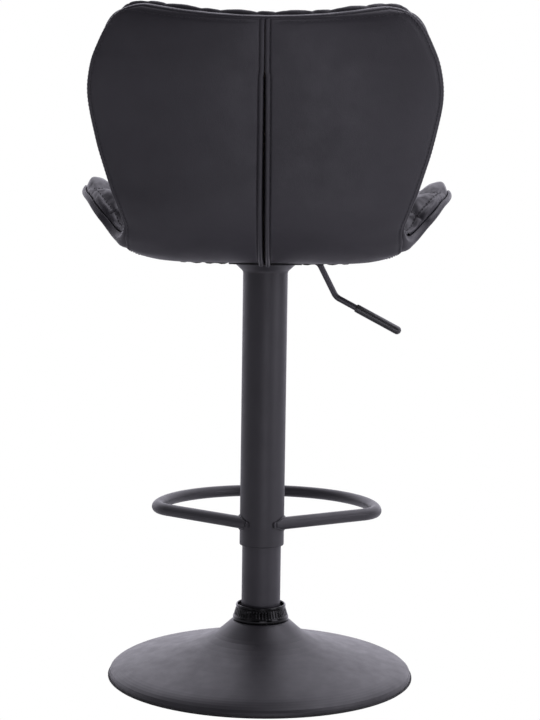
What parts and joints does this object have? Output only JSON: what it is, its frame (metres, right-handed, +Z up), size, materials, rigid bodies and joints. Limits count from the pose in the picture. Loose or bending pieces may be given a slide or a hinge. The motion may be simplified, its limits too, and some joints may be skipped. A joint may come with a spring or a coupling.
{
  "type": "bar stool with footrest",
  "caption": "Height-adjustable swivel bar stool: trumpet base, gas-lift column with looped footrest, release lever and a one-piece quilted shell seat with backrest.",
  "frame": {"origin": "on the floor plane, on the column axis, at the middle of the base ring's underside", "axes": "+Z up along the column; -Y is the way the sitter faces; +Y is the backrest side; -X is the sitter's right, where the release lever is. Rest pose is the lowest height with the seat facing -Y."},
  "size_m": [0.47, 0.4765, 0.835],
  "materials": {
    "powder_coat_base": "fine matte powder coat",
    "powder_coat_column": "satin powder coat",
    "powder_coat_plate": "satin black",
    "floor_rubber": "matte",
    "ballast_iron": "plain, lacquered",
    "zinc_steel": "zinc plated",
    "bearing_steel": "ground",
    "rod_chrome": "polished",
    "bush_nylon": "natural nylon",
    "glide_nylon": "black nylon",
    "collar_plastic": "glossy black",
    "seal_rubber": "smooth",
    "plywood": "moulded beech veneer",
    "foam": "open cell polyurethane foam",
    "faux_leather": "smooth black coated fabric, fine grain",
    "nonwoven": "thin black spunbond",
    "lever_steel": "satin black",
    "grip_plastic": "satin black"
  },
  "bodies": {
    "base": {"base_cover": "powder_coat_base", "floor_ring": "floor_rubber", "base_weight": "ballast_iron", "column_flange": "zinc_steel", "column_nut": "zinc_steel", "base_collar": "collar_plastic", "lower_tube": "powder_coat_column", "bearing_cup": "zinc_steel", "bearing_lower_race": "bearing_steel", "guide_bush": "bush_nylon"},
    "rod": {"piston_rod": "rod_chrome", "piston": "zinc_steel", "bearing_balls": "bearing_steel", "bearing_upper_race": "bearing_steel", "rod_clip": "zinc_steel"},
    "seat_unit": {"pressure_cylinder": "powder_coat_column", "cylinder_seal": "seal_rubber", "taper_socket": "powder_coat_plate", "sleeve_tube": "powder_coat_column", "sleeve_glide": "glide_nylon", "footrest": "powder_coat_column", "seat_plate": "powder_coat_plate", "pivot_pin": "zinc_steel", "plate_bolts": "zinc_steel", "plate_washers": "zinc_steel", "tee_nuts": "zinc_steel", "seat_shell": "plywood", "seat_foam": "foam", "quilted_cover": "faux_leather", "edge_band": "faux_leather", "rear_cover_left": "faux_leather", "rear_cover_right": "faux_leather", "rear_padding": "foam", "dust_cover": "nonwoven", "cover_staples": "zinc_steel"},
    "lever": {"lever_rod": "lever_steel", "lever_grip": "grip_plastic"},
    "valve_pin": {"release_pin": "rod_chrome"}
  },
  "joints": [
    {"name": "swivel", "type": "hinge", "parent": "base", "child": "rod", "pos_m": [0, 0, 0.0226], "axis": [0, 0, 1], "continuous": true},
    {"name": "height", "type": "slide", "parent": "rod", "child": "seat_unit", "axis": [0, 0, 1], "range_m": [0, 0.21]},
    {"name": "lever_lift", "type": "hinge", "parent": "seat_unit", "child": "lever", "pos_m": [-0.03, 0, 0.5347], "axis": [0, 1, 0], "range_deg": [0, 5], "stiffness_Nm_per_rad": 8},
    {"name": "pin_press", "type": "slide", "parent": "seat_unit", "child": "valve_pin", "axis": [0, 0, -1], "range_m": [0, 0.0027]}
  ],
  "couplings": [
    {"joint": "pin_press", "follows": "lever_lift", "m_per_rad": 0.03}
  ]
}
